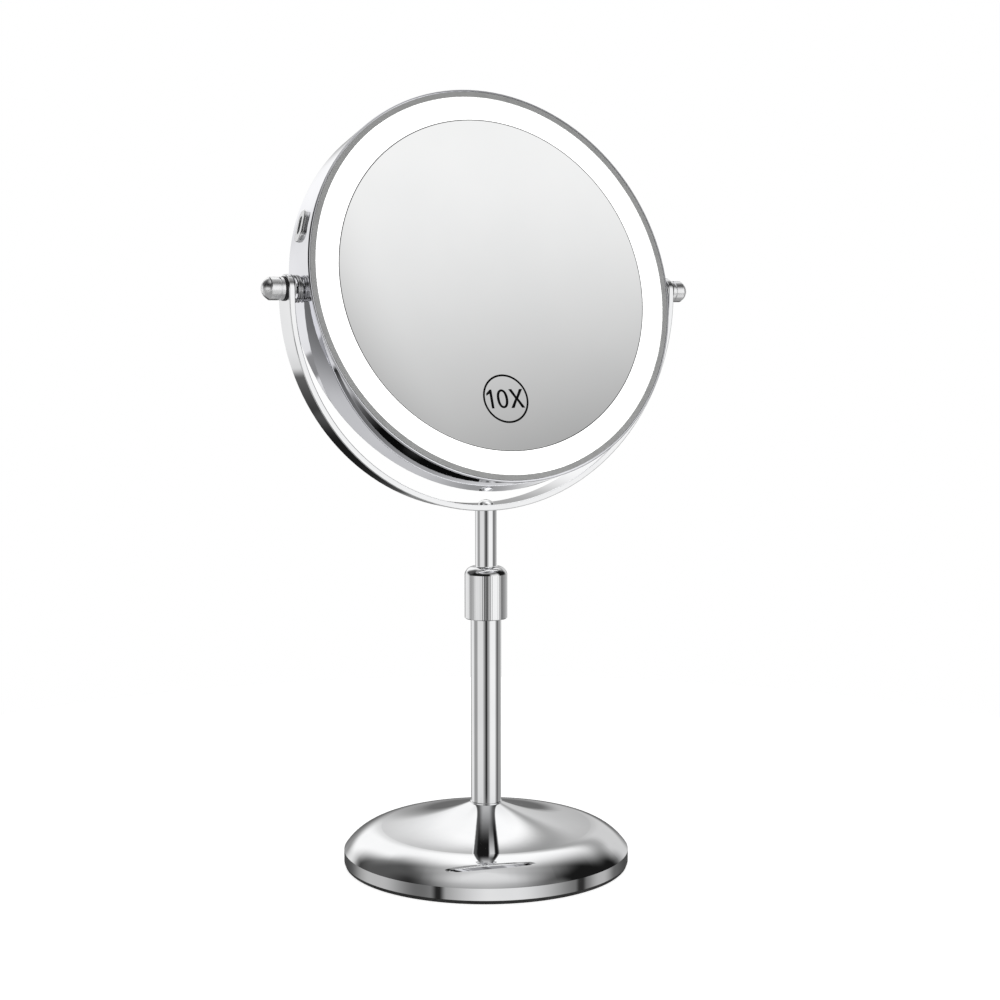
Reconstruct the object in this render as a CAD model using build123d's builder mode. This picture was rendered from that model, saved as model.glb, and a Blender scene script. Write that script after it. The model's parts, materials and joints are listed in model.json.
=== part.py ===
"""Two-sided lighted vanity mirror on a weighted stand with a telescopic pole.

The origin is the centre of the base on the table, +Z is up, the magnifying mirror faces -Y.
Sizes are in mm. The moving bodies are stand, lock collar, slider, yoke, mirror head, two pivot
knobs and a power button.
"""

import os
from math import acos, asin, cos, degrees, radians, sin, sqrt

from build123d import *

os.makedirs("parts", exist_ok=True)

# ---------------------------------------------------------------- driving dimensions
base_r = 73.9  # weighted foot
rim_bottom = 2.0  # top of the rubber foot ring
rim_top = 8.0  # the rim band ends and the dome starts
shoulder_r = 27.0  # convex shoulder of the dome
shoulder_x = 51.7  # radius at which the shoulder's centre lies
pole_foot_z = 31.7  # flat top of the dome, where the pole stands
pole_foot_r = 8.2
shell_t = 1.0

outer_tube_r = 7.85
outer_tube_bore = 6.85
inner_tube_r = 5.5
inner_tube_bore = 4.5
collar_r = 11.0
collar_bottom = 128.4
collar_top = 155.4

yoke_bottom = 184.6
yoke_r = 109.5  # outside of the fork's round
yoke_t = 3.0
yoke_width = 14.0

pivot_z = 296.5
tilt = 14.6  # degrees that the head leans back at rest
drum_r = 101.5  # 203 mm, an 8 inch head
half_depth = 13.0
wall_t = 1.8
mirror_r = 85.2
light_outer_r = 97.4
mirror_gap = 0.5  # between the glass and the light ring, filled by a black seal
face_recess = 0.4  # mirror and light ring below the front plane
concave_r = 560.0  # curvature radius of the magnifying mirror

station_angle = 18.0  # charge port and power button, above the pivots
stud_r = 2.5
led_count = 30

running_gap = 0.05
press_gap = 0.02

# ---------------------------------------------------------------- reference planes and axes
pivot_point = (0, 0, pivot_z)
face_normal = (0, -cos(radians(tilt)), sin(radians(tilt)))
face_up = (0, sin(radians(tilt)), cos(radians(tilt)))
face_down = (0, -sin(radians(tilt)), -cos(radians(tilt)))

head = Plane(origin=pivot_point, x_dir=(1, 0, 0), z_dir=face_normal)  # local Z leaves the magnifying side
head_section = Plane(origin=pivot_point, x_dir=(1, 0, 0), z_dir=face_down)  # (radius, depth) outlines
head_axis = Axis(pivot_point, face_normal)
pivot_axis = Axis(pivot_point, (1, 0, 0))
sides = ((-1, "left"), (1, "right"))


def save(piece, node):
    """Label a finished piece with its node's name and write its STEP file."""
    piece.label = node
    export_step(piece, f"parts/{node}.step")


def outline_face(section, outline):
    """Face on a section plane, bounded by straight lines through the outline's points."""
    with BuildSketch(section) as face:
        with BuildLine():
            Polyline(*outline, close=True)
        make_face()
    return face.sketch


def flipped(outline):
    """The same (radius, depth) outline on the head's rear half."""
    return [(radius, -depth) for radius, depth in outline]


def rim_plane(angle, radius):
    """Plane square to the drum's radius at an angle: local X runs round the drum, local Z leaves it."""
    centre = head.from_local_coords((radius * cos(radians(angle)), radius * sin(radians(angle)), 0))
    outwards = head.from_local_coords((cos(radians(angle)), sin(radians(angle)), 0)) - head.origin
    return Plane(origin=centre, x_dir=head.z_dir.cross(outwards), z_dir=outwards)


def outermost_edges(builder, angle):
    """Edges of the face that lies furthest out along the drum's radius at an angle."""
    outwards = rim_plane(angle, drum_r)
    return builder.faces().sort_by(Axis(outwards.origin, outwards.z_dir))[-1].edges()


def side_section(side):
    """Section plane through a pivot: (distance from the centre line, radius about the pivot axis)."""
    return Plane(origin=pivot_point, x_dir=(side, 0, 0), z_dir=(0, -side, 0))


# ================================================================ STAND
def dome_edges(inset):
    """Rim, shoulder and cone of the dome, inset from its outer surface, drawn from the rim to the pole."""
    arc_r = shoulder_r - inset
    start = degrees(acos((base_r - inset - shoulder_x) / arc_r))
    outer_start = acos((base_r - shoulder_x) / shoulder_r)
    centre = (shoulder_x, rim_top - shoulder_r * sin(outer_start))
    shoulder_end = 84.0
    shoulder = CenterArc(centre, arc_r, start, shoulder_end - start)
    rim = Line((base_r - inset, rim_bottom), shoulder @ 0)
    cone = TangentArc(shoulder @ 1, (pole_foot_r, pole_foot_z - inset), tangent=shoulder % 1)
    return rim, shoulder, cone


bolt_r = 4.0
bolt_clear_r = bolt_r + 0.3

with BuildPart() as base_shell:
    with BuildSketch(Plane.XZ):
        with BuildLine():
            outer_rim, _, outer_cone = dome_edges(0)
            inner_rim, _, inner_cone = dome_edges(shell_t)
            Polyline(
                outer_cone @ 1,
                (bolt_clear_r, pole_foot_z),
                (bolt_clear_r, pole_foot_z - shell_t),
                inner_cone @ 1,
            )
            Line(outer_rim @ 0, inner_rim @ 0)
        make_face()
    revolve(axis=Axis.Z)
save(base_shell.part, "base_shell")

foot_ring_inner = 58.0
with BuildPart() as foot_ring:
    with BuildSketch():
        Circle(base_r - 0.6)
        Circle(foot_ring_inner, mode=Mode.SUBTRACT)
    extrude(amount=rim_bottom)
    chamfer(foot_ring.edges().group_by(Axis.Z)[0].sort_by(SortBy.RADIUS)[-1], 0.4)
save(foot_ring.part, "foot_ring")

plate_t = 1.0
plate_top = rim_bottom + plate_t
plate_screw_ring = 45.0
plate_screw_count = 4
plate_screw_r = 1.5
plate_screw_head_r = 2.4
plate_screw_tip = 9.0
recess_l, recess_w = 2.8, 0.6  # cross recess in a screw head

with BuildPart() as base_plate:
    with BuildSketch(Plane.XY.offset(rim_bottom)):
        Circle(base_r - shell_t - 0.2)
    extrude(amount=plate_t)
    with BuildSketch(Plane.XY.offset(rim_bottom)):
        with PolarLocations(plate_screw_ring, plate_screw_count):
            Circle(plate_screw_head_r + running_gap)
    extrude(amount=plate_t, taper=45, mode=Mode.SUBTRACT)
save(base_plate.part, "base_plate")

weight_r = 60.0
weight_top = 11.0
bolt_head_bottom = 3.6
bolt_head_h = 5.3
bolt_head_flats = 13.0
washer_t = 1.6
washer_r = 7.5
bolt_seat = bolt_head_bottom + bolt_head_h + washer_t
bolt_pocket_r = 9.5
hub_foot_r = 16.0  # the weight's hub tapers up to the pole
hub_collar_h = 6.0

with BuildPart() as base_weight:
    revolve(
        outline_face(
            Plane.XZ,
            [
                (bolt_clear_r, bolt_seat),
                (bolt_pocket_r, bolt_seat),
                (bolt_pocket_r, plate_top),
                (weight_r, plate_top),
                (weight_r, weight_top),
                (hub_foot_r, weight_top),
                (pole_foot_r, pole_foot_z - shell_t - hub_collar_h),
                (pole_foot_r, pole_foot_z - shell_t),
                (bolt_clear_r, pole_foot_z - shell_t),
            ],
        ),
        axis=Axis.Z,
    )
    with BuildSketch(Plane.XY.offset(plate_top)):
        with PolarLocations(plate_screw_ring, plate_screw_count):
            Circle(plate_screw_r + running_gap)
    extrude(amount=plate_screw_tip - plate_top, mode=Mode.SUBTRACT)
save(base_weight.part, "base_weight")

with BuildPart() as plate_screws:
    with BuildSketch(Plane.XY.offset(rim_bottom)):
        with PolarLocations(plate_screw_ring, plate_screw_count):
            Circle(plate_screw_head_r)
    extrude(amount=plate_screw_head_r - plate_screw_r, taper=45)
    with BuildSketch(Plane.XY.offset(rim_bottom)):
        with PolarLocations(plate_screw_ring, plate_screw_count):
            Circle(plate_screw_r)
    extrude(amount=plate_screw_tip - rim_bottom)
    with BuildSketch(Plane.XY.offset(rim_bottom)):
        with PolarLocations(plate_screw_ring, plate_screw_count):
            Rectangle(recess_l, recess_w)
            Rectangle(recess_w, recess_l)
    extrude(amount=0.7, mode=Mode.SUBTRACT)
save(plate_screws.part, "plate_screws")

with BuildPart() as base_bolt_washer:
    with BuildSketch(Plane.XY.offset(bolt_seat - washer_t)):
        Circle(washer_r)
        Circle(bolt_clear_r, mode=Mode.SUBTRACT)
    extrude(amount=washer_t)
save(base_bolt_washer.part, "base_bolt_washer")

seat_ring_t = 0.8
tube_foot = pole_foot_z + seat_ring_t
plug_top = 44.0
with BuildPart() as base_bolt:
    with BuildSketch(Plane.XY.offset(bolt_head_bottom)):
        RegularPolygon(bolt_head_flats / 2, 6, major_radius=False)
    extrude(amount=bolt_head_h)
    with BuildSketch(Plane.XY.offset(bolt_head_bottom + bolt_head_h)):
        Circle(bolt_r)
    extrude(amount=plug_top - 1.0 - bolt_head_bottom - bolt_head_h)
    chamfer(base_bolt.edges().group_by(Axis.Z)[-1], 0.8)
save(base_bolt.part, "base_bolt")

with BuildPart() as pole_seat_ring:
    with BuildSketch(Plane.XY.offset(pole_foot_z)):
        Circle(outer_tube_r + 0.5)
        Circle(bolt_clear_r, mode=Mode.SUBTRACT)
    extrude(amount=seat_ring_t)
    fillet(pole_seat_ring.edges().group_by(Axis.Z)[-1].sort_by(SortBy.RADIUS)[-1], 0.3)
save(pole_seat_ring.part, "pole_seat_ring")

with BuildPart() as pole_plug:
    with BuildSketch(Plane.XY.offset(tube_foot)):
        Circle(outer_tube_bore - press_gap)
        Circle(bolt_r + running_gap, mode=Mode.SUBTRACT)
    extrude(amount=plug_top - tube_foot)
save(pole_plug.part, "pole_plug")

sleeve_shoulder = 131.0
sleeve_top = 143.0
sleeve_insert_bottom = 125.0
sleeve_thread_r = 8.1
sleeve_bore = inner_tube_r + 0.1

with BuildPart() as outer_tube:
    with BuildSketch(Plane.XY.offset(tube_foot)):
        Circle(outer_tube_r)
        Circle(outer_tube_bore, mode=Mode.SUBTRACT)
    extrude(amount=sleeve_shoulder - tube_foot)
save(outer_tube.part, "outer_tube")

with BuildPart() as threaded_sleeve:
    revolve(
        outline_face(
            Plane.XZ,
            [
                (sleeve_bore, sleeve_insert_bottom),
                (outer_tube_bore - press_gap, sleeve_insert_bottom),
                (outer_tube_bore - press_gap, sleeve_shoulder),
                (sleeve_thread_r, sleeve_shoulder),
                (sleeve_thread_r, sleeve_top),
                (sleeve_bore, sleeve_top),
            ],
        ),
        axis=Axis.Z,
    )
save(threaded_sleeve.part, "threaded_sleeve")

collet_slit = 0.9
collet_r = 7.8
collet_tip_r = 6.3
collet_h = 7.0
collet_cone_start = 2.2
with BuildPart() as collet:
    revolve(
        outline_face(
            Plane.XZ,
            [
                (inner_tube_r + running_gap, sleeve_top),
                (collet_r, sleeve_top),
                (collet_r, sleeve_top + collet_cone_start),
                (collet_tip_r, sleeve_top + collet_h),
                (inner_tube_r + running_gap, sleeve_top + collet_h),
            ],
        ),
        axis=Axis.Z,
    )
    with BuildSketch(Plane.XY.offset(sleeve_top)):
        with Locations((0, sleeve_thread_r / 2)):
            Rectangle(collet_slit, sleeve_thread_r)
    extrude(amount=collet_h, mode=Mode.SUBTRACT)
save(collet.part, "collet")

# ================================================================ LOCK COLLAR
collar_bore = sleeve_thread_r + running_gap
collar_mouth = inner_tube_r + 0.3
collar_edge = 0.4
mouth_depth = 3.0
dome_start = collar_top - 3.9
flute_count = 60  # fine shallow grip flutes up the side of the collar
flute_r = 2.5
flute_depth = 0.035
with BuildPart() as lock_collar:
    with BuildSketch(Plane.XZ):
        with BuildLine():
            side_wall = Polyline(
                (collar_bore, collar_bottom),
                (collar_r - collar_edge, collar_bottom),
                (collar_r, collar_bottom + collar_edge),
                (collar_r, dome_start),
            )
            top_lip = (collar_mouth + collar_edge, collar_top)
            dome = TangentArc(side_wall @ 1, top_lip, tangent=(-0.25, 1.0))
            Polyline(
                dome @ 1,
                (collar_mouth, collar_top - collar_edge),
                (collar_mouth, collar_top - mouth_depth),
                (collar_bore, sleeve_top + collet_h / 3),
                (collar_bore, collar_bottom),
            )
        make_face()
    revolve(axis=Axis.Z)
    with BuildSketch(Plane.XY.offset(collar_bottom)):
        with PolarLocations(collar_r + flute_r - flute_depth, flute_count):
            Circle(flute_r)
    extrude(amount=dome_start - collar_bottom, mode=Mode.SUBTRACT)
save(lock_collar.part, "lock_collar")

# ================================================================ SLIDER
bush_bottom = 72.0
bush_top = 80.0
with BuildPart() as guide_bush:
    with BuildSketch(Plane.XY.offset(bush_bottom)):
        Circle(outer_tube_bore - running_gap)
        Circle(inner_tube_r + running_gap, mode=Mode.SUBTRACT)
    extrude(amount=bush_top - bush_bottom)
save(guide_bush.part, "guide_bush")

# ================================================================ YOKE AND INNER TUBE
clip_t = 1.0
clip_groove_r = inner_tube_r - 0.3
clip_r = 6.4
clip_mouth = 5.0
with BuildPart() as inner_tube:
    with BuildSketch(Plane.XY.offset(bush_bottom)):
        Circle(inner_tube_r)
        Circle(inner_tube_bore, mode=Mode.SUBTRACT)
    extrude(amount=yoke_bottom - bush_bottom)
    with BuildSketch(Plane.XY.offset(bush_top)):
        Circle(inner_tube_r + 1.0)
        Circle(clip_groove_r, mode=Mode.SUBTRACT)
    extrude(amount=clip_t, mode=Mode.SUBTRACT)
save(inner_tube.part, "inner_tube")

with BuildPart() as bush_clip:
    with BuildSketch(Plane.XY.offset(bush_top)):
        Circle(clip_r)
        Circle(clip_groove_r + press_gap, mode=Mode.SUBTRACT)
        with Locations((clip_r, 0)):
            Rectangle(2 * clip_r, clip_mouth, mode=Mode.SUBTRACT)
    extrude(amount=clip_t)
save(bush_clip.part, "bush_clip")

end_plug_flange = 1.2
end_plug_h = 9.0
with BuildPart() as tube_end_plug:
    with BuildSketch(Plane.XY.offset(bush_bottom - end_plug_flange)):
        Circle(clip_r)
    extrude(amount=end_plug_flange)
    with BuildSketch(Plane.XY.offset(bush_bottom)):
        Circle(inner_tube_bore - press_gap)
    extrude(amount=end_plug_h)
save(tube_end_plug.part, "tube_end_plug")

yoke_screw_r = 2.5
yoke_screw_tip = yoke_bottom - 12.0
insert_bottom = yoke_bottom - 16.0
with BuildPart() as tube_top_insert:
    with BuildSketch(Plane.XY.offset(insert_bottom)):
        Circle(inner_tube_bore - press_gap)
    extrude(amount=yoke_bottom - insert_bottom)
    with BuildSketch(Plane.XY.offset(yoke_screw_tip - 0.5)):
        Circle(yoke_screw_r + running_gap)
    extrude(amount=yoke_bottom - yoke_screw_tip + 0.5, mode=Mode.SUBTRACT)
save(tube_top_insert.part, "tube_top_insert")

yoke_inner_r = yoke_r - yoke_t
yoke_centre_z = yoke_bottom + yoke_r
yoke_floor = yoke_bottom + yoke_t
spotface = 0.15
screw_head_r = 4.0
screw_head_h = 2.4
screw_head_edge = 0.6  # height of the head's side below its crown
crown_rise = screw_head_h - screw_head_edge
crown_r = (crown_rise**2 + screw_head_r**2) / (2 * crown_rise)
crown_angle = degrees(asin(screw_head_r / crown_r))
crown_recess_l, crown_recess_w, crown_recess_h = 1.8, 0.4, 0.5
arm_hole_r = 3.6
tab_r = yoke_width / 2

with BuildPart() as yoke:
    with BuildSketch(Plane.XZ):
        with BuildLine():
            Line((-yoke_r, pivot_z + tab_r), (-yoke_r, yoke_centre_z))
            ThreePointArc((-yoke_r, yoke_centre_z), (0, yoke_bottom), (yoke_r, yoke_centre_z))
            Polyline(
                (yoke_r, yoke_centre_z),
                (yoke_r, pivot_z + tab_r),
                (yoke_inner_r, pivot_z + tab_r),
                (yoke_inner_r, yoke_centre_z),
            )
            ThreePointArc((yoke_inner_r, yoke_centre_z), (0, yoke_floor), (-yoke_inner_r, yoke_centre_z))
            Polyline(
                (-yoke_inner_r, yoke_centre_z),
                (-yoke_inner_r, pivot_z + tab_r),
                (-yoke_r, pivot_z + tab_r),
            )
        make_face()
    extrude(amount=tab_r, both=True)
    with BuildSketch(Plane.YZ):
        with Locations((0, (pivot_z + yoke_bottom) / 2)):
            Rectangle(yoke_width, pivot_z - yoke_bottom)
        with Locations((0, pivot_z)):
            Circle(tab_r)
    extrude(amount=yoke_r, both=True, mode=Mode.INTERSECT)
    fillet(yoke.edges(), 0.5)
    with BuildSketch(Plane.YZ):
        with Locations((0, pivot_z)):
            Circle(arm_hole_r)
    extrude(amount=yoke_r, both=True, mode=Mode.SUBTRACT)
    with BuildSketch(Plane.XY.offset(yoke_bottom)):
        Circle(yoke_screw_r + 0.2)
    extrude(amount=yoke_t, mode=Mode.SUBTRACT)
    with BuildSketch(Plane.XY.offset(yoke_floor - spotface)):
        Circle(screw_head_r + 0.2)
    extrude(amount=spotface * 3, mode=Mode.SUBTRACT)
save(yoke.part, "yoke")

screw_seat = yoke_floor - spotface
screw_crown = screw_seat + screw_head_h
with BuildPart() as yoke_screw:
    with BuildSketch(Plane.XZ):
        with BuildLine():
            crown = CenterArc((0, screw_crown - crown_r), crown_r, 90 - crown_angle, crown_angle)
            Polyline(
                crown @ 0,
                (screw_head_r, screw_seat),
                (yoke_screw_r, screw_seat),
                (yoke_screw_r, yoke_screw_tip),
                (0, yoke_screw_tip),
                (0, screw_crown),
            )
        make_face()
    revolve(axis=Axis.Z)
    with BuildSketch(Plane.XY.offset(screw_crown)):
        Rectangle(crown_recess_l, crown_recess_w)
        Rectangle(crown_recess_w, crown_recess_l)
    extrude(amount=-crown_recess_h, mode=Mode.SUBTRACT)
save(yoke_screw.part, "yoke_screw")

# ================================================================ PIVOTS, ONE PER SIDE
stud_inner = 92.0
stud_outer = 119.0
nut_face = 99.4
nut_t = 4.0
nut_flats = 8.0
spring_wire_r = 0.65
spring_r = 6.1
spring_turns = 2.1
spring_pitch = 1.34
spring_start = drum_r + spring_wire_r + 0.1
spring_washer_t = 0.5
washer_face = yoke_inner_r - 0.15  # clear of the arm's curve under the pivot
knob_washer_t = 0.7
knob_start = yoke_r + knob_washer_t + 0.1
knob_r = 5.6
knob_tip = 120.9
knob_dome_start = 117.2
knob_bevel = 0.4
groove_start = 112.0
groove_w = 1.0
groove_depth = 0.5
nose_length = knob_tip - knob_dome_start - knob_bevel
nose_r = (nose_length**2 + (knob_r - knob_bevel) ** 2) / (2 * nose_length)
nose_angle = degrees(asin((knob_r - knob_bevel) / nose_r))

for side, name in sides:
    section = side_section(side)

    with BuildPart() as pivot_stud:
        with BuildSketch(Plane(origin=(side * stud_inner, 0, pivot_z), z_dir=(side, 0, 0))):
            Circle(stud_r)
        extrude(amount=stud_outer - stud_inner)
        chamfer(pivot_stud.edges().filter_by(GeomType.CIRCLE), 0.4)
    save(pivot_stud.part, f"{name}_pivot_stud")

    with BuildPart() as pivot_nut:
        nut_plane = Plane(
            origin=(side * (nut_face - nut_t), 0, pivot_z),
            x_dir=face_up,
            z_dir=(side, 0, 0),
        )
        with BuildSketch(nut_plane):
            RegularPolygon(nut_flats / 2, 6, major_radius=False)
            Circle(stud_r + press_gap, mode=Mode.SUBTRACT)
        extrude(amount=nut_t)
    save(pivot_nut.part, f"{name}_pivot_nut")

    with BuildPart() as pivot_spring:
        with BuildLine():
            coil = Helix(
                pitch=spring_pitch,
                height=spring_pitch * spring_turns,
                radius=spring_r,
                center=(side * spring_start, 0, pivot_z),
                direction=(side, 0, 0),
            )
        with BuildSketch(coil ^ 0):
            Circle(spring_wire_r)
        sweep(is_frenet=True)
    save(pivot_spring.part, f"{name}_pivot_spring")

    with BuildPart() as spring_washer:
        revolve(
            outline_face(
                section,
                [
                    (washer_face - spring_washer_t, stud_r + 0.3),
                    (washer_face, stud_r + 0.3),
                    (washer_face, tab_r - 0.1),
                    (washer_face - spring_washer_t, tab_r - 0.1),
                ],
            ),
            axis=pivot_axis,
        )
    save(spring_washer.part, f"{name}_spring_washer")

    with BuildPart() as arm_bush:
        revolve(
            outline_face(
                section,
                [
                    (yoke_inner_r, stud_r + running_gap),
                    (yoke_r, stud_r + running_gap),
                    (yoke_r, arm_hole_r - press_gap),
                    (yoke_inner_r, arm_hole_r - press_gap),
                ],
            ),
            axis=pivot_axis,
        )
    save(arm_bush.part, f"{name}_arm_bush")

    with BuildPart() as knob_washer:
        revolve(
            outline_face(
                section,
                [
                    (yoke_r + 0.05, stud_r + 0.3),
                    (yoke_r + 0.05 + knob_washer_t, stud_r + 0.3),
                    (yoke_r + 0.05 + knob_washer_t, knob_r + 0.3),
                    (yoke_r + 0.05, knob_r + 0.3),
                ],
            ),
            axis=pivot_axis,
        )
    save(knob_washer.part, f"{name}_knob_washer")

    with BuildPart() as knob:
        with BuildSketch(section):
            with BuildLine():
                Polyline(
                    (knob_start, stud_r + running_gap),
                    (knob_start, knob_r - 0.3),
                    (knob_start + 0.3, knob_r),
                    (groove_start, knob_r),
                    (groove_start + groove_w / 3, knob_r - groove_depth),
                    (groove_start + 2 * groove_w / 3, knob_r - groove_depth),
                    (groove_start + groove_w, knob_r),
                    (knob_dome_start, knob_r),
                    (knob_dome_start + knob_bevel, knob_r - knob_bevel),
                )
                CenterArc((knob_tip - nose_r, 0), nose_r, 0, nose_angle)
                Polyline(
                    (knob_tip, 0),
                    (stud_outer + 0.3, 0),
                    (stud_outer + 0.3, stud_r + running_gap),
                    (knob_start, stud_r + running_gap),
                )
            make_face()
        revolve(axis=pivot_axis)
    save(knob.part, f"{name}_knob")

# ================================================================ MIRROR HEAD: HOUSING AND CHASSIS
port_angle = 180.0 - station_angle
button_angle = station_angle
wall_inner = drum_r - wall_t
lip_inner = drum_r - 0.85
lip_depth = 0.8
bezel_gap = 0.3  # shadow line between the lip and the trim ring
port_w, port_h = 17.0, 10.0
spigot_w, spigot_h = 13.4, 6.6
slit_w, slit_h = 9.4, 3.6
button_r = 3.2
lug_front = 2.6
lug_t = 1.4
lug_angles = (45, 90, 135, 225, 270, 315)

with BuildPart() as drum_housing:
    revolve(
        outline_face(
            head_section,
            [
                (drum_r, -half_depth),
                (drum_r, half_depth),
                (lip_inner, half_depth),
                (lip_inner, half_depth - lip_depth),
                (wall_inner, half_depth - lip_depth),
                (wall_inner, lip_depth - half_depth),
                (lip_inner, lip_depth - half_depth),
                (lip_inner, -half_depth),
            ],
        ),
        axis=head_axis,
    )
    rims = drum_housing.edges().filter_by(GeomType.CIRCLE).group_by(SortBy.RADIUS)[-1]
    fillet(rims, 0.7)
    with BuildSketch(head.offset(lug_front - lug_t)):
        for lug_angle in lug_angles:
            with PolarLocations(wall_inner - 0.4, 1, start_angle=lug_angle):
                Rectangle(2.6, 8.0)
    extrude(amount=lug_t)
    with BuildSketch(Plane(origin=pivot_point, z_dir=(1, 0, 0))):
        Circle(stud_r + 0.1)
    extrude(amount=drum_r + 1, both=True, mode=Mode.SUBTRACT)
    with BuildSketch(rim_plane(port_angle, wall_inner - 2)):
        SlotOverall(spigot_w + 0.2, spigot_h + 0.2)
    extrude(amount=wall_t + 4, mode=Mode.SUBTRACT)
    with BuildSketch(rim_plane(button_angle, wall_inner - 2)):
        Circle(button_r + 0.1)
    extrude(amount=wall_t + 4, mode=Mode.SUBTRACT)
save(drum_housing.part, "drum_housing")

chassis_t = 1.4
chassis_front = lug_front + chassis_t
chassis_r = 99.3
chassis_hole_r = 34.0
stud_notch_l, stud_notch_w = 15.0, 12.0
switch_notch_l, switch_notch_w = 20.0, 16.0
post_r = 2.8
tray_boss_r = 2.4
tray_boss_h = 2.9
tray_back = chassis_front + 0.1
tray_t = 1.0
screw_ring = 80.0
screw_count = 6
screw_start = 15.0
chassis_screw_r = 1.25
chassis_screw_tip = tray_back + tray_t + 2.3

with BuildPart() as chassis_plate:
    with BuildSketch(head.offset(lug_front)):
        Circle(chassis_r)
        Circle(chassis_hole_r, mode=Mode.SUBTRACT)
        with Locations((chassis_r, 0), (-chassis_r, 0)):
            Rectangle(stud_notch_l, stud_notch_w, mode=Mode.SUBTRACT)
        with PolarLocations(chassis_r, 1, start_angle=button_angle):
            Rectangle(switch_notch_l, switch_notch_w, mode=Mode.SUBTRACT)
    extrude(amount=chassis_t)
    with BuildSketch(head.offset(-tray_back)):
        with PolarLocations(screw_ring, screw_count, start_angle=screw_start):
            Circle(post_r)
    extrude(amount=tray_back + lug_front)
    with BuildSketch(head.offset(-tray_back)):
        with PolarLocations(screw_ring, screw_count, start_angle=screw_start):
            Circle(chassis_screw_r + 0.1)
    extrude(amount=tray_back + chassis_front, mode=Mode.SUBTRACT)
save(chassis_plate.part, "chassis_plate")

tray_inner_r = 77.0
tray_top = 9.7  # the tray's walls end here, under the diffuser and the glass
flange_r = 98.6
inner_wall_r = 86.2
glass_ledge_r = 83.6
tray_outline = [
    (tray_inner_r, tray_back),
    (flange_r, tray_back),
    (flange_r, tray_top),
    (light_outer_r, tray_top),
    (light_outer_r, tray_back + tray_t),
    (inner_wall_r + tray_t, tray_back + tray_t),
    (inner_wall_r + tray_t, tray_top),
    (glass_ledge_r, tray_top),
    (glass_ledge_r, tray_top - tray_t),
    (inner_wall_r, tray_top - tray_t),
    (inner_wall_r, tray_back + tray_t),
    (tray_inner_r, tray_back + tray_t),
]

with BuildPart() as front_light_tray:
    revolve(outline_face(head_section, tray_outline), axis=head_axis)
    with BuildSketch(head.offset(tray_back)):
        with PolarLocations(screw_ring, screw_count, start_angle=screw_start):
            Circle(tray_boss_r)
    extrude(amount=tray_t + tray_boss_h)
    with BuildSketch(head.offset(tray_back)):
        with PolarLocations(screw_ring, screw_count, start_angle=screw_start):
            Circle(chassis_screw_r + running_gap)
    extrude(amount=tray_t + tray_boss_h - 0.4, mode=Mode.SUBTRACT)
save(front_light_tray.part, "front_light_tray")

with BuildPart() as rear_light_tray:
    revolve(outline_face(head_section, flipped(tray_outline)), axis=head_axis)
    with BuildSketch(head.offset(-tray_back - tray_t)):
        with PolarLocations(screw_ring, screw_count, start_angle=screw_start):
            Circle(chassis_screw_r + 0.1)
    extrude(amount=tray_t, mode=Mode.SUBTRACT)
save(rear_light_tray.part, "rear_light_tray")

chassis_screw_head_h = 1.6
chassis_screw_head_r = 2.3
with BuildPart() as chassis_screws:
    with BuildSketch(head.offset(-tray_back - tray_t - chassis_screw_head_h)):
        with PolarLocations(screw_ring, screw_count, start_angle=screw_start):
            Circle(chassis_screw_head_r)
    extrude(amount=chassis_screw_head_h)
    with BuildSketch(head.offset(-tray_back - tray_t)):
        with PolarLocations(screw_ring, screw_count, start_angle=screw_start):
            Circle(chassis_screw_r)
    extrude(amount=tray_back + tray_t + chassis_screw_tip)
save(chassis_screws.part, "chassis_screws")

# ================================================================ MIRROR HEAD: LIGHTS AND FACES
board_face = tray_back + tray_t
board_t = 1.0
board_outer_r, board_inner_r = 96.8, 88.0
led_t = 0.7
led_w, led_l = 2.8, 3.5
led_ring = 92.4
light_face = half_depth - face_recess
seal_depth = 1.7
light_inner_r = mirror_r + mirror_gap
flange_face = 10.6  # front of the diffuser's flange, under the trim ring
diffuser_outline = [
    (light_inner_r, tray_top + 0.1),
    (flange_r, tray_top + 0.1),
    (flange_r, flange_face),
    (light_outer_r, flange_face),
    (light_outer_r, light_face),
    (light_inner_r, light_face),
]
seal_outline = [
    (mirror_r + running_gap, light_face - seal_depth),
    (light_inner_r - running_gap, light_face - seal_depth),
    (light_inner_r - running_gap, light_face - 0.1),
    (mirror_r + running_gap, light_face - 0.1),
]
bezel_face = half_depth - 0.1
bezel_ledge = half_depth - lip_depth
bezel_outline = [
    (light_outer_r + 0.2, bezel_face),
    (lip_inner - bezel_gap, bezel_face),
    (lip_inner - bezel_gap, bezel_ledge + running_gap),
    (wall_inner - 0.1, bezel_ledge + running_gap),
    (wall_inner - 0.1, tray_back),
    (flange_r + 0.2, tray_back),
    (flange_r + 0.2, flange_face + 0.1),
    (light_outer_r + 0.2, flange_face + 0.1),
]

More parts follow.
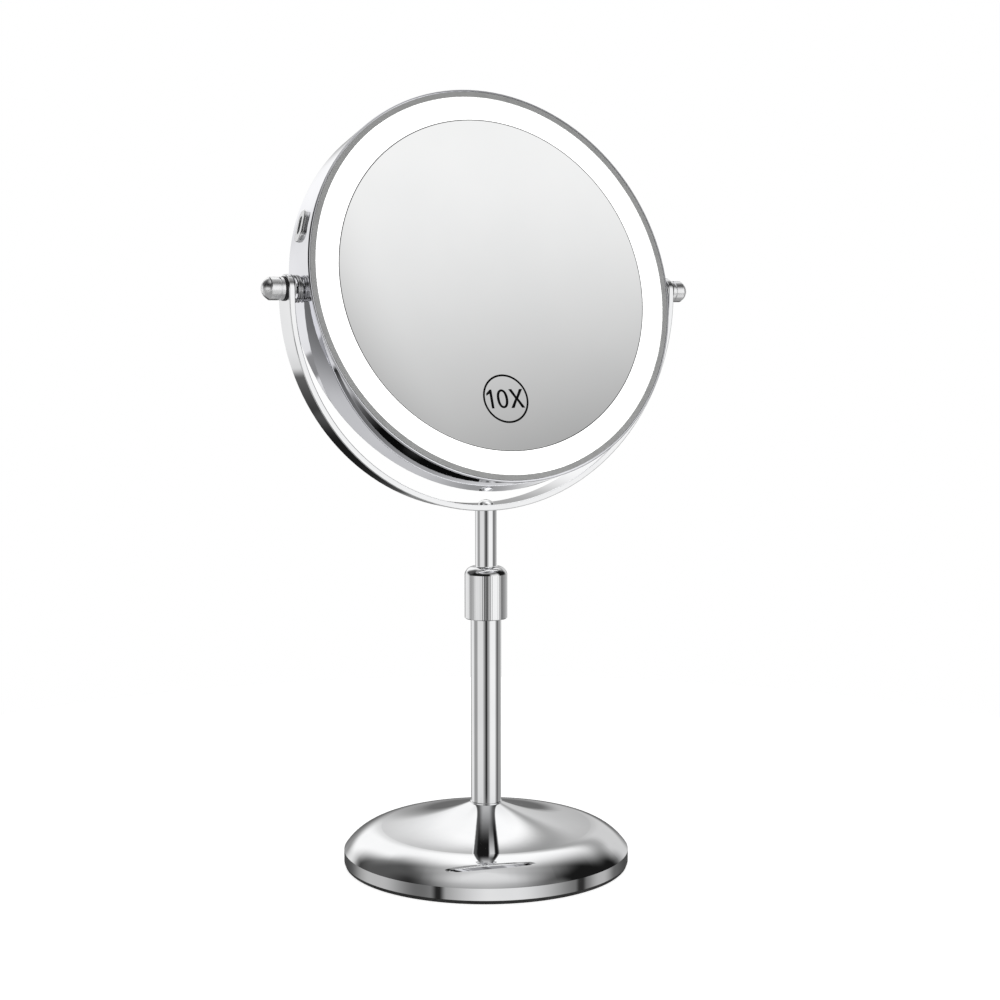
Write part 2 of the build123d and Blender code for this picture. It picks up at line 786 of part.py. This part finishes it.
for half, name in ((1, "front"), (-1, "rear")):
    board_plane = head.offset(min(half * board_face, half * (board_face + board_t)))
    led_plane = head.offset(min(half * (board_face + board_t), half * (board_face + board_t + led_t)))

    with BuildPart() as led_board:
        with BuildSketch(board_plane):
            Circle(board_outer_r)
            Circle(board_inner_r, mode=Mode.SUBTRACT)
        extrude(amount=board_t)
    save(led_board.part, f"{name}_led_board")

    with BuildPart() as leds:
        with BuildSketch(led_plane):
            with PolarLocations(led_ring, led_count):
                Rectangle(led_w, led_l)
        extrude(amount=led_t)
    save(leds.part, f"{name}_leds")

    with BuildPart() as diffuser:
        outline = diffuser_outline if half > 0 else flipped(diffuser_outline)
        revolve(outline_face(head_section, outline), axis=head_axis)
    save(diffuser.part, f"{name}_diffuser")

    with BuildPart() as mirror_seal:
        outline = seal_outline if half > 0 else flipped(seal_outline)
        revolve(outline_face(head_section, outline), axis=head_axis)
    save(mirror_seal.part, f"{name}_mirror_seal")

    with BuildPart() as bezel:
        outline = bezel_outline if half > 0 else flipped(bezel_outline)
        revolve(outline_face(head_section, outline), axis=head_axis)
    save(bezel.part, f"{name}_bezel")

glass_t = 2.5
sag = concave_r - sqrt(concave_r**2 - mirror_r**2)
glass_bottom = light_face - sag - glass_t
bowl_centre = head.from_local_coords((0, 0, light_face - sag + concave_r))
bowl = Plane(origin=bowl_centre, x_dir=face_normal, z_dir=(1, 0, 0))  # its poles and seam lie off the glass
with BuildPart() as front_mirror:
    with BuildSketch(head.offset(glass_bottom)):
        Circle(mirror_r)
    extrude(amount=light_face - glass_bottom)
    with Locations(bowl.location):
        Sphere(concave_r + glass_t, mode=Mode.INTERSECT)
    with Locations(bowl.location):
        Sphere(concave_r, mode=Mode.SUBTRACT)
save(front_mirror.part, "front_mirror")

rear_glass_t = 2.8
with BuildPart() as rear_mirror:
    with BuildSketch(head.offset(-light_face)):
        Circle(mirror_r)
    extrude(amount=rear_glass_t)
save(rear_mirror.part, "rear_mirror")

# ================================================================ MIRROR HEAD: POWER AND SWITCH
battery_w, battery_h, battery_t = 66.0, 30.0, 6.0
battery_drop = 53.0
with BuildPart() as battery:
    with BuildSketch(head.offset(lug_front - 0.2 - battery_t)):
        with Locations((0, -battery_drop)):
            RectangleRounded(battery_w, battery_h, 3.0)
    extrude(amount=battery_t)
save(battery.part, "battery")

socket_w, socket_h, socket_depth = 9.0, 3.2, 7.3
socket_mouth = 101.0
socket_wall = 0.3
tongue_w, tongue_t = 6.7, 0.8
pcb_t = 1.6
pcb_outer = 98.3
pcb_length = 30.0
pcb_width = 24.0
chip_ring = 74.0
chip_side = 5.0
chip_t = 1.2

with BuildPart() as control_board:
    with BuildSketch(head.offset(-socket_h / 2 - pcb_t)):
        with PolarLocations(pcb_outer - pcb_length / 2, 1, start_angle=port_angle):
            Rectangle(pcb_length, pcb_width)
    extrude(amount=pcb_t)
    with BuildSketch(head.offset(-socket_h / 2)):
        with PolarLocations(chip_ring, 1, start_angle=port_angle):
            with Locations((0, -chip_side), (0, chip_side)):
                Rectangle(chip_side, chip_side)
    extrude(amount=chip_t)
save(control_board.part, "control_board")

with BuildPart() as usb_socket:
    with BuildSketch(rim_plane(port_angle, socket_mouth - socket_depth)):
        SlotOverall(socket_w, socket_h)
    extrude(amount=socket_depth)
    with BuildSketch(rim_plane(port_angle, socket_mouth)):
        SlotOverall(socket_w - 2 * socket_wall, socket_h - 2 * socket_wall)
        Rectangle(tongue_w, tongue_t, mode=Mode.SUBTRACT)
    extrude(amount=-(socket_depth - 1.0), mode=Mode.SUBTRACT)
save(usb_socket.part, "usb_socket")

port_height = 1.4
with BuildPart() as port_bezel:
    with BuildSketch(rim_plane(port_angle, drum_r - 1.2)):
        SlotOverall(port_w, port_h)
    extrude(amount=port_height + 1.2)
    fillet(outermost_edges(port_bezel, port_angle), 0.9)
    with BuildSketch(head.offset(-half_depth)):
        Circle(drum_r)
    extrude(amount=2 * half_depth, mode=Mode.SUBTRACT)
    with BuildSketch(rim_plane(port_angle, wall_inner - 0.4)):
        SlotOverall(spigot_w, spigot_h)
    extrude(amount=wall_t + 0.6)
    with BuildSketch(rim_plane(port_angle, wall_inner - 1)):
        SlotOverall(slit_w, slit_h)
    extrude(amount=wall_t + port_height + 2, mode=Mode.SUBTRACT)
save(port_bezel.part, "port_bezel")

button_top = 102.6
button_bottom = 98.5
switch_board_back = 92.0
switch_board_t = 1.2
switch_board_l, switch_board_w = 14.0, 7.4
switch_body_side = 6.0
plunger_r = 1.7
switch_body_t = 3.4
plunger_top = 97.7

with BuildPart() as switch_board:
    with BuildSketch(rim_plane(button_angle, switch_board_back)):
        Rectangle(switch_board_l, switch_board_w)
    extrude(amount=switch_board_t)
save(switch_board.part, "switch_board")

with BuildPart() as tact_switch:
    switch_face = switch_board_back + switch_board_t
    with BuildSketch(rim_plane(button_angle, switch_face)):
        Rectangle(switch_body_side, switch_body_side)
    extrude(amount=switch_body_t)
    with BuildSketch(rim_plane(button_angle, switch_face + switch_body_t)):
        Circle(plunger_r)
    extrude(amount=plunger_top - switch_face - switch_body_t)
save(tact_switch.part, "tact_switch")

# ================================================================ POWER BUTTON
with BuildPart() as power_button:
    with BuildSketch(rim_plane(button_angle, button_bottom)):
        Circle(button_r + 0.6)
    extrude(amount=0.8)
    with BuildSketch(rim_plane(button_angle, button_bottom)):
        Circle(button_r)
    extrude(amount=button_top - button_bottom)
    fillet(outermost_edges(power_button, button_angle), 0.5)
save(power_button.part, "power_button")
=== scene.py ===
# Looks of the two-sided lighted vanity mirror: finishes, the magnification mark, the studio and the camera.
# Lengths are in metres, and angles in degrees unless a value is wrapped in radians().
import json
from math import atan2, cos, pi, radians, sin, sqrt

import bpy
from mathutils import Euler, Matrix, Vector


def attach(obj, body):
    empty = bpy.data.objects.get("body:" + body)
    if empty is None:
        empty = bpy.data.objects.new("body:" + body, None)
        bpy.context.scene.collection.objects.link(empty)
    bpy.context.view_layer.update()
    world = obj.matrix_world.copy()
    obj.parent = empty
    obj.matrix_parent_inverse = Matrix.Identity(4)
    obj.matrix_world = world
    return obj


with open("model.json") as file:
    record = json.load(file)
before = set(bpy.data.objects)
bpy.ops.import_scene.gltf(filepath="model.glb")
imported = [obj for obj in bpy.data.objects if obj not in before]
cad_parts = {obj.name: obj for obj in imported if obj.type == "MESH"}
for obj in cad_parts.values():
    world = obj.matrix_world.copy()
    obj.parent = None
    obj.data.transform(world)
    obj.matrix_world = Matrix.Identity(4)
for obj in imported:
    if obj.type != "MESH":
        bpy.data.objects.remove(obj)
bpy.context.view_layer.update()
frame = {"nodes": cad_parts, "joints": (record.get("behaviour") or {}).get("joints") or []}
nodes = frame["nodes"]
joints = {joint["name"]: joint for joint in frame["joints"]}
mm = 0.001

# The head turns about the pivot; its lean shows in the press axis of the power button on its rim.
pivot = Vector(joints["mirror_tilt"]["pos_m"])
press = joints["power_button_press"]["axis"]
lean = atan2(-press[1], -press[2])
head_out = Vector((0, -cos(lean), sin(lean)))
head_up = Vector((0, sin(lean), cos(lean)))


# ---------------------------------------------------------------- shader helpers

noise_low, noise_high = 0.3, 0.7  # the usual span of the noise
relief_depth = 0.05 * mm


def new_tree(owner):
    """The emptied node tree of a material or a world."""
    owner.use_nodes = True
    owner.node_tree.nodes.clear()
    return owner.node_tree


def add(tree, kind, **settings):
    """A node with its settings: a key that is a property of the node sets that, and any other an input."""
    node = tree.nodes.new(kind)
    for key, value in settings.items():
        if hasattr(node, key):
            setattr(node, key, value)
        else:
            node.inputs[key.replace("_", " ")].default_value = value
    return node


def noise(tree, scale, detail=3.0):
    """Noise in object space, scale cells per metre."""
    place = add(tree, "ShaderNodeTexCoord")
    pattern = add(tree, "ShaderNodeTexNoise", Scale=scale, Detail=detail, Roughness=0.5)
    tree.links.new(place.outputs["Object"], pattern.inputs["Vector"])
    return pattern.outputs["Fac"]


def shades(tree, factor, dark, light):
    """The noise's usual span as a colour from dark to light."""
    node = add(tree, "ShaderNodeValToRGB")
    stops = ((noise_low, dark), (noise_high, light))
    for element, (position, colour) in zip(node.color_ramp.elements, stops):
        element.position = position
        element.color = (*colour, 1)
    tree.links.new(factor, node.inputs["Fac"])
    return node.outputs["Color"]


def spread(tree, factor, low, high):
    """The noise's usual span as a value from low to high."""
    node = add(tree, "ShaderNodeMapRange")
    node.inputs["From Min"].default_value = noise_low
    node.inputs["From Max"].default_value = noise_high
    node.inputs["To Min"].default_value = low
    node.inputs["To Max"].default_value = high
    tree.links.new(factor, node.inputs["Value"])
    return node.outputs["Result"]


def finish(
    name, dark, light, rough, metallic=0.0, scale=60.0, bump=0.0, bump_scale=900.0, glow=0.0, coat=0.0,
    gloss=0.5,
):
    """A Principled material whose colour runs from dark to light and whose roughness runs over rough."""
    material = bpy.data.materials.new(name)
    tree = new_tree(material)
    output = add(tree, "ShaderNodeOutputMaterial")
    shader = add(tree, "ShaderNodeBsdfPrincipled", Metallic=metallic)
    tree.links.new(shader.outputs["BSDF"], output.inputs["Surface"])
    broad = noise(tree, scale)
    fine = noise(tree, bump_scale, detail=2.0)
    colour = shades(tree, broad, dark, light)
    tree.links.new(colour, shader.inputs["Base Color"])
    tree.links.new(spread(tree, fine, *rough), shader.inputs["Roughness"])
    shader.inputs["Coat Weight"].default_value = coat
    shader.inputs["Specular IOR Level"].default_value = gloss
    if bump:
        relief = add(tree, "ShaderNodeBump", Strength=bump, Distance=relief_depth)
        tree.links.new(fine, relief.inputs["Height"])
        tree.links.new(relief.outputs["Normal"], shader.inputs["Normal"])
    if glow:
        tree.links.new(colour, shader.inputs["Emission Color"])
        shader.inputs["Emission Strength"].default_value = glow
    return material


# ---------------------------------------------------------------- finishes

silvering = {
    "dark": (0.93, 0.935, 0.935), "light": (0.955, 0.958, 0.957), "rough": (0.0, 0.012), "metallic": 1.0,
    "scale": 20.0,
}
finishes = {
    "polished_chrome": finish(
        "polished_chrome_plate", (0.90, 0.905, 0.915), (0.955, 0.957, 0.962), (0.012, 0.03), metallic=1.0,
        scale=35.0, bump=0.01, bump_scale=500.0,
    ),
    "mirror_glass": finish("silvered_glass", **silvering),
    "satin_chrome": finish(
        "soft_chrome_plate", (0.94, 0.942, 0.948), (0.98, 0.982, 0.985), (0.24, 0.3), metallic=1.0,
        scale=60.0, bump=0.02, bump_scale=500.0,
    ),
    "drum_chrome": finish(
        "brushed_chrome_plate", (0.865, 0.868, 0.905), (0.93, 0.932, 0.965), (0.015, 0.035), metallic=1.0,
        scale=30.0, bump=0.01, bump_scale=500.0,
    ),
    "magnifying_glass": finish("silvered_bowl_glass", **silvering),
    # The rear glass's faint emission is a painted glow standing in for light; the glass is no lamp.
    "plain_glass": finish("silvered_glass_with_painted_glow", **silvering, glow=0.12),
    "light_diffuser": finish(
        "opal_acrylic", (0.97, 0.97, 0.965), (1.0, 1.0, 1.0), (0.35, 0.45), scale=90.0, bump=0.1, glow=1.0,
    ),
    "satin_grey": finish(
        "satin_grey_trim", (0.56, 0.565, 0.56), (0.64, 0.645, 0.64), (0.36, 0.46), scale=120.0, bump=0.15,
    ),
    "black_rubber": finish(
        "black_rubber_moulding", (0.012, 0.012, 0.012), (0.03, 0.03, 0.03), (0.55, 0.75), scale=150.0,
        bump=0.3,
    ),
    "black_nylon": finish(
        "black_nylon_moulding", (0.015, 0.015, 0.016), (0.03, 0.03, 0.032), (0.35, 0.5), scale=200.0,
        bump=0.2,
    ),
    "white_nylon": finish(
        "white_nylon_moulding", (0.78, 0.78, 0.74), (0.86, 0.86, 0.83), (0.3, 0.42), scale=200.0, bump=0.15,
    ),
    "cast_iron": finish(
        "cast_iron_skin", (0.10, 0.10, 0.105), (0.2, 0.195, 0.19), (0.55, 0.85), metallic=0.7, scale=140.0,
        bump=0.9, bump_scale=1400.0,
    ),
    "black_paint": finish(
        "black_powder_coat", (0.02, 0.02, 0.021), (0.045, 0.045, 0.046), (0.35, 0.55), scale=300.0, bump=0.6,
        bump_scale=2200.0,
    ),
    "bright_steel": finish(
        "zinc_plated_steel", (0.58, 0.59, 0.6), (0.74, 0.745, 0.74), (0.16, 0.3), metallic=1.0, scale=180.0,
        bump=0.1,
    ),
    "spring_steel": finish(
        "plated_spring_wire", (0.62, 0.62, 0.63), (0.78, 0.78, 0.79), (0.1, 0.18), metallic=1.0, scale=400.0,
    ),
    "white_plastic": finish(
        "white_moulded_plastic", (0.82, 0.82, 0.81), (0.9, 0.9, 0.89), (0.35, 0.5), scale=120.0, bump=0.1,
    ),
    "circuit_board": finish(
        "solder_mask", (0.02, 0.11, 0.05), (0.04, 0.2, 0.1), (0.2, 0.35), scale=500.0, bump=0.2, coat=0.4,
    ),
    "led_package": finish(
        "phosphor_led", (0.9, 0.8, 0.45), (0.97, 0.93, 0.75), (0.2, 0.35), scale=900.0, glow=0.6,
    ),
    "battery_foil": finish(
        "battery_wrap", (0.42, 0.44, 0.47), (0.58, 0.6, 0.63), (0.25, 0.4), metallic=0.8, scale=80.0,
        bump=0.4, bump_scale=300.0,
    ),
    "printed_black": finish(
        "printed_black_ink", (0.003, 0.003, 0.003), (0.007, 0.007, 0.007), (0.85, 0.95), scale=700.0,
        bump=0.1, gloss=0.1,
    ),
}

# Every material slot of the CAD takes the finish of its name, and a few nodes take one of their own. The
# rear glass glows faintly, a painted glow of light on the mirror, so that it stays grey over a dark floor.
for node in nodes.values():
    for material_slot in node.material_slots:
        material_slot.material = finishes[material_slot.material.name]

specials = {
    "drum_housing": "drum_chrome",
    "port_bezel": "satin_chrome",
    "left_knob": "satin_chrome",
    "right_knob": "satin_chrome",
    "front_mirror": "magnifying_glass",
    "rear_mirror": "plain_glass",
}
for name, special in specials.items():
    nodes[name].material_slots[0].material = finishes[special]

# The magnifying mirror is the inside of a sphere, and is shaded as a true one instead of by its facets. Its
# radius of curvature, its own radius and the height of its edge over the pivot are those of the CAD.
bowl_r = 560.0 * mm
glass_r = 85.2 * mm
glass_face = 12.6 * mm
bowl_centre = pivot + head_out * (glass_face + sqrt(bowl_r**2 - glass_r**2))
bowl_tree = finishes["magnifying_glass"].node_tree
bowl_place = add(bowl_tree, "ShaderNodeTexCoord")
inward = add(bowl_tree, "ShaderNodeVectorMath", operation="SUBTRACT")
inward.inputs[0].default_value = bowl_centre
bowl_tree.links.new(bowl_place.outputs["Object"], inward.inputs[1])
to_world = add(
    bowl_tree, "ShaderNodeVectorTransform", vector_type="NORMAL", convert_from="OBJECT", convert_to="WORLD",
)
bowl_tree.links.new(inward.outputs["Vector"], to_world.inputs["Vector"])
unit = add(bowl_tree, "ShaderNodeVectorMath", operation="NORMALIZE")
bowl_tree.links.new(to_world.outputs["Vector"], unit.inputs[0])
bowl_shader = next(node for node in bowl_tree.nodes if node.type == "BSDF_PRINCIPLED")
bowl_tree.links.new(unit.outputs["Vector"], bowl_shader.inputs["Normal"])


# ---------------------------------------------------------------- magnification mark on the front glass

mark_drop = 58.3 * mm
mark_shift = -1.2 * mm
mark_ring_r = 12.2 * mm
mark_line = 1.0 * mm
figure_h = 9.8 * mm
figure_stroke = 1.4 * mm
one_left, one_w = -10.6 * mm, 3.3 * mm
zero_x, zero_half_w = -1.8 * mm, 3.1 * mm
zero_power = 0.92
times_left, times_w = 2.3 * mm, 7.9 * mm
ink_t = 0.04 * mm
clear_of_glass = 50 * mm
glass = nodes["front_mirror"]


def ellipse(half_w, half_h, centre_x=0.0, count=48, power=1.0):
    """A closed loop of points; a power under 1 squares the ellipse off."""
    loop = []
    for step in range(count):
        angle = 2 * pi * step / count
        c, s = cos(angle), sin(angle)
        loop.append((
            centre_x + half_w * abs(c) ** power * (1 if c > 0 else -1),
            half_h * abs(s) ** power * (1 if s > 0 else -1),
        ))
    return loop


def figure_one(left, width):
    """The figure 1: an upright with a short flag at its top."""
    right = left + width
    stem = right - figure_stroke
    top, bottom = figure_h / 2, -figure_h / 2
    flag = top - 0.27 * figure_h
    return [
        (right, bottom), (right, top), (right - 0.75 * figure_stroke, top),
        (right - 1.6 * figure_stroke, top - 0.11 * figure_h), (left, flag + 0.06 * figure_h),
        (left, flag - 0.055 * figure_h), (stem, top - 0.215 * figure_h), (stem, bottom),
    ]


def letter_x(left, width):
    """The letter X: two crossed bars in one outline."""
    right, middle = left + width, left + width / 2
    top, bottom = figure_h / 2, -figure_h / 2
    foot = 1.28 * figure_stroke
    notch = 0.74 * figure_stroke
    waist = 0.62 * figure_stroke
    return [
        (left, bottom), (left + foot, bottom), (middle, -notch), (right - foot, bottom),
        (right, bottom), (middle + waist, 0), (right, top), (right - foot, top),
        (middle, notch), (left + foot, top), (left, top), (middle - waist, 0),
    ]


def onto_glass(across, up):
    """Where a point of the head's plane lands on the front glass, and the normal there."""
    start = pivot + Vector((across, 0, 0)) + head_up * up + head_out * clear_of_glass
    hit, place, normal, _ = glass.ray_cast(start, -head_out)
    if not hit:
        raise RuntimeError("the magnification mark misses the front mirror")
    return place, normal


def printed(name, loops):
    """Ink as thin as print, filled inside the loops, lying on the curved front glass."""
    curve = bpy.data.curves.new(name + "_outline", "CURVE")
    curve.dimensions = "2D"
    curve.fill_mode = "BOTH"
    curve.extrude = ink_t / 2
    for loop in loops:
        spline = curve.splines.new("POLY")
        spline.points.add(len(loop) - 1)
        spline.use_cyclic_u = True
        for point, (across, up) in zip(spline.points, loop):
            point.co = (across, up, 0, 1)
    outline = bpy.data.objects.new(name + "_outline", curve)
    mesh = bpy.data.meshes.new_from_object(outline)
    bpy.data.objects.remove(outline)
    for vertex in mesh.vertices:
        across, up, height = vertex.co
        place, normal = onto_glass(across + mark_shift, up - mark_drop)
        vertex.co = place + normal * (height + ink_t)
    mesh.materials.clear()
    mesh.materials.append(finishes["printed_black"])
    mesh.name = name
    piece = bpy.data.objects.new(name, mesh)
    bpy.context.scene.collection.objects.link(piece)
    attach(piece, "mirror_head")


printed("mark_ring", [
    ellipse(mark_ring_r + mark_line / 2, mark_ring_r + mark_line / 2, count=96),
    ellipse(mark_ring_r - mark_line / 2, mark_ring_r - mark_line / 2, count=96),
])
printed("mark_one", [figure_one(one_left, one_w)])
printed("mark_zero", [
    ellipse(zero_half_w, figure_h / 2, zero_x, power=zero_power),
    ellipse(zero_half_w - figure_stroke, figure_h / 2 - 0.8 * figure_stroke, zero_x, power=zero_power),
])
printed("mark_times", [letter_x(times_left, times_w)])


# ---------------------------------------------------------------- studio: floor and surroundings

white = (1, 1, 1, 1)
floor_r = 0.5
floor_sides = 96
floor_material = bpy.data.materials.new("pale_floor")
floor_tree = new_tree(floor_material)
floor_output = add(floor_tree, "ShaderNodeOutputMaterial")
surface = add(floor_tree, "ShaderNodeBsdfPrincipled", Roughness=0.8)
surface.inputs["Emission Color"].default_value = white
surface.inputs["Emission Strength"].default_value = 0.8
shade = shades(floor_tree, noise(floor_tree, 40.0), (0.92, 0.92, 0.92), (0.95, 0.95, 0.95))
floor_tree.links.new(shade, surface.inputs["Base Color"])

# Seen from below, the floor is clear, so that it doesn't hide the underside of the base.
clear = add(floor_tree, "ShaderNodeBsdfTransparent")
facing = add(floor_tree, "ShaderNodeNewGeometry")
both_sides = add(floor_tree, "ShaderNodeMixShader")
floor_tree.links.new(facing.outputs["Backfacing"], both_sides.inputs["Fac"])
floor_tree.links.new(surface.outputs["BSDF"], both_sides.inputs[1])
floor_tree.links.new(clear.outputs["BSDF"], both_sides.inputs[2])
floor_tree.links.new(both_sides.outputs["Shader"], floor_output.inputs["Surface"])

floor_mesh = bpy.data.meshes.new("floor")
floor_edge = [(across, along, 0) for across, along in ellipse(floor_r, floor_r, count=floor_sides)]
floor_mesh.from_pydata(floor_edge, [], [list(range(floor_sides))])
floor_mesh.materials.append(floor_material)
floor = bpy.data.objects.new("floor", floor_mesh)
bpy.context.scene.collection.objects.link(floor)
floor.visible_glossy = False

# The studio is a sky of soft cards, each covering the earlier ones. Azimuth is counted from the camera's
# side, positive to its right, and elevation from the horizon. Edge is the width of a card's soft sides, and
# fade that of its soft top and bottom.
camera_turn = radians(28.31)
ambient = 0.01
middle = -360  # below any distance from a card's middle, so that a card has no gap there
cards = [
    # azimuth, half width, edge, lowest, highest, fade, brightness
    ("low surroundings", 0, 180, 1, -90, 8, 16, 0.33),
    ("overhead panel", 0, 180, 1, 68, 120, 50, 0.70),
    ("front overhead panel", 0, 62, 60, 58, 120, 44, 0.76),
    ("left glow", -112, 24, 30, 20, 56, 16, 0.09),
    ("backdrop", 180, 37, 60, 32, 72, 16, 1.05),
    ("left backdrop window", -156, 19, 24, 8, 46, 12, 1.00),
    ("left backdrop", -124, 22, 16, -30, 14, 14, 0.84),
    ("right backdrop", 158, 20, 22, -30, 28, 16, 0.64),
    ("right side gap", 97, 8, 14, -24, 12, 10, 0.12),
    ("left softbox", -43, 24, 14, -26, 10, 22, 0.76),
    ("right softbox", 53, 25, 18, -26, 35, 36, 0.94),
    ("right reflector", 80, 26, 28, -50, -26, 10, 0.76),
    ("slot between softboxes", 3, 8, 12, -40, 6, 14, 0.02),
    ("dark floor in front", 5, 18, 20, -90, -25, 6, 0.16),
    ("rim base", 0, 180, 1, -22, -15.5, 2, 0.15),
    ("rim light", 14, 38, 60, -22, -15.5, 2, 0.80),
    ("rim left light", -98, 24, 36, -22, -15.5, 2, 0.50),
    ("rim right light", 106, 12, 20, -22, -15.5, 2, 0.46),
    ("rim flag left", -38, 4, 6, -22, -15.5, 2, 0.02),
    ("rim flag right", 82, 4, 5, -22, -15.5, 2, 0.03),
    ("horizon behind", 180, 18, 20, -12, 2, 8, 0.15),
    ("dark floor behind", 180, 44, 34, -36, -16, 14, 0.012),
    ("black floor behind", -162, 32, 20, -43, -30, 3, 0.003),
]


def combine(tree, operation, first, second=None, third=None):
    """The result of a math node; each operand is a number or the output of another node."""
    node = add(tree, "ShaderNodeMath", operation=operation)
    for socket, value in zip(node.inputs, (first, second, third)):
        if isinstance(value, (int, float)):
            socket.default_value = value
        elif value is not None:
            tree.links.new(value, socket)
    return node.outputs[0]


def window(tree, value, low, high, fade):
    """1 between low and high, falling smoothly to 0 over fade at each end."""
    masks = []
    for edge, inward in ((low, 1), (high, -1)):
        node = add(tree, "ShaderNodeMapRange", interpolation_type="SMOOTHSTEP")
        node.inputs["From Min"].default_value = edge - inward * fade / 2
        node.inputs["From Max"].default_value = edge + inward * fade / 2
        tree.links.new(value, node.inputs["Value"])
        masks.append(node.outputs["Result"])
    return combine(tree, "MULTIPLY", *masks)


world = bpy.data.worlds.new("studio")
bpy.context.scene.world = world
sky = new_tree(world)
direction = add(sky, "ShaderNodeTexCoord")
turned = add(sky, "ShaderNodeVectorRotate", rotation_type="Z_AXIS", Angle=camera_turn)
sky.links.new(direction.outputs["Generated"], turned.inputs["Vector"])
split = add(sky, "ShaderNodeSeparateXYZ")
sky.links.new(turned.outputs["Vector"], split.inputs["Vector"])
towards = combine(sky, "MULTIPLY", split.outputs["Y"], -1)
azimuth = combine(sky, "DEGREES", combine(sky, "ARCTAN2", split.outputs["X"], towards))
elevation = combine(sky, "DEGREES", combine(sky, "ARCSINE", split.outputs["Z"]))
level = ambient
for _, centre, half_width, edge, lowest, highest, fade, brightness in cards:
    offset = combine(sky, "WRAP", combine(sky, "SUBTRACT", azimuth, centre), 180, -180)
    across = window(sky, combine(sky, "ABSOLUTE", offset), middle, half_width, edge)
    mask = combine(sky, "MULTIPLY", across, window(sky, elevation, lowest, highest, fade))
    change = combine(sky, "MULTIPLY", combine(sky, "SUBTRACT", brightness, level), mask)
    level = combine(sky, "ADD", level, change)
surroundings = add(sky, "ShaderNodeBackground")
sky.links.new(level, surroundings.inputs["Strength"])
surroundings.inputs["Color"].default_value = white

# The camera itself sees plain white behind the mirror.
backdrop = add(sky, "ShaderNodeBackground", Strength=1.0)
backdrop.inputs["Color"].default_value = white
path = add(sky, "ShaderNodeLightPath")
choice = add(sky, "ShaderNodeMixShader")
sky.links.new(path.outputs["Is Camera Ray"], choice.inputs["Fac"])
sky.links.new(surroundings.outputs["Background"], choice.inputs[1])
sky.links.new(backdrop.outputs["Background"], choice.inputs[2])
sky_output = add(sky, "ShaderNodeOutputWorld")
sky.links.new(choice.outputs["Shader"], sky_output.inputs["Surface"])

scene = bpy.context.scene
scene.view_settings.view_transform = "Standard"

camera_data = bpy.data.cameras.new("camera")
camera_data.sensor_width = 36.0
camera_data.lens = 67.0
camera = bpy.data.objects.new("camera", camera_data)
camera.location = (-0.4443, -0.8401, 0.2827)
camera.rotation_euler = Euler((radians(84.4), 0, -camera_turn))
scene.collection.objects.link(camera)
scene.camera = camera
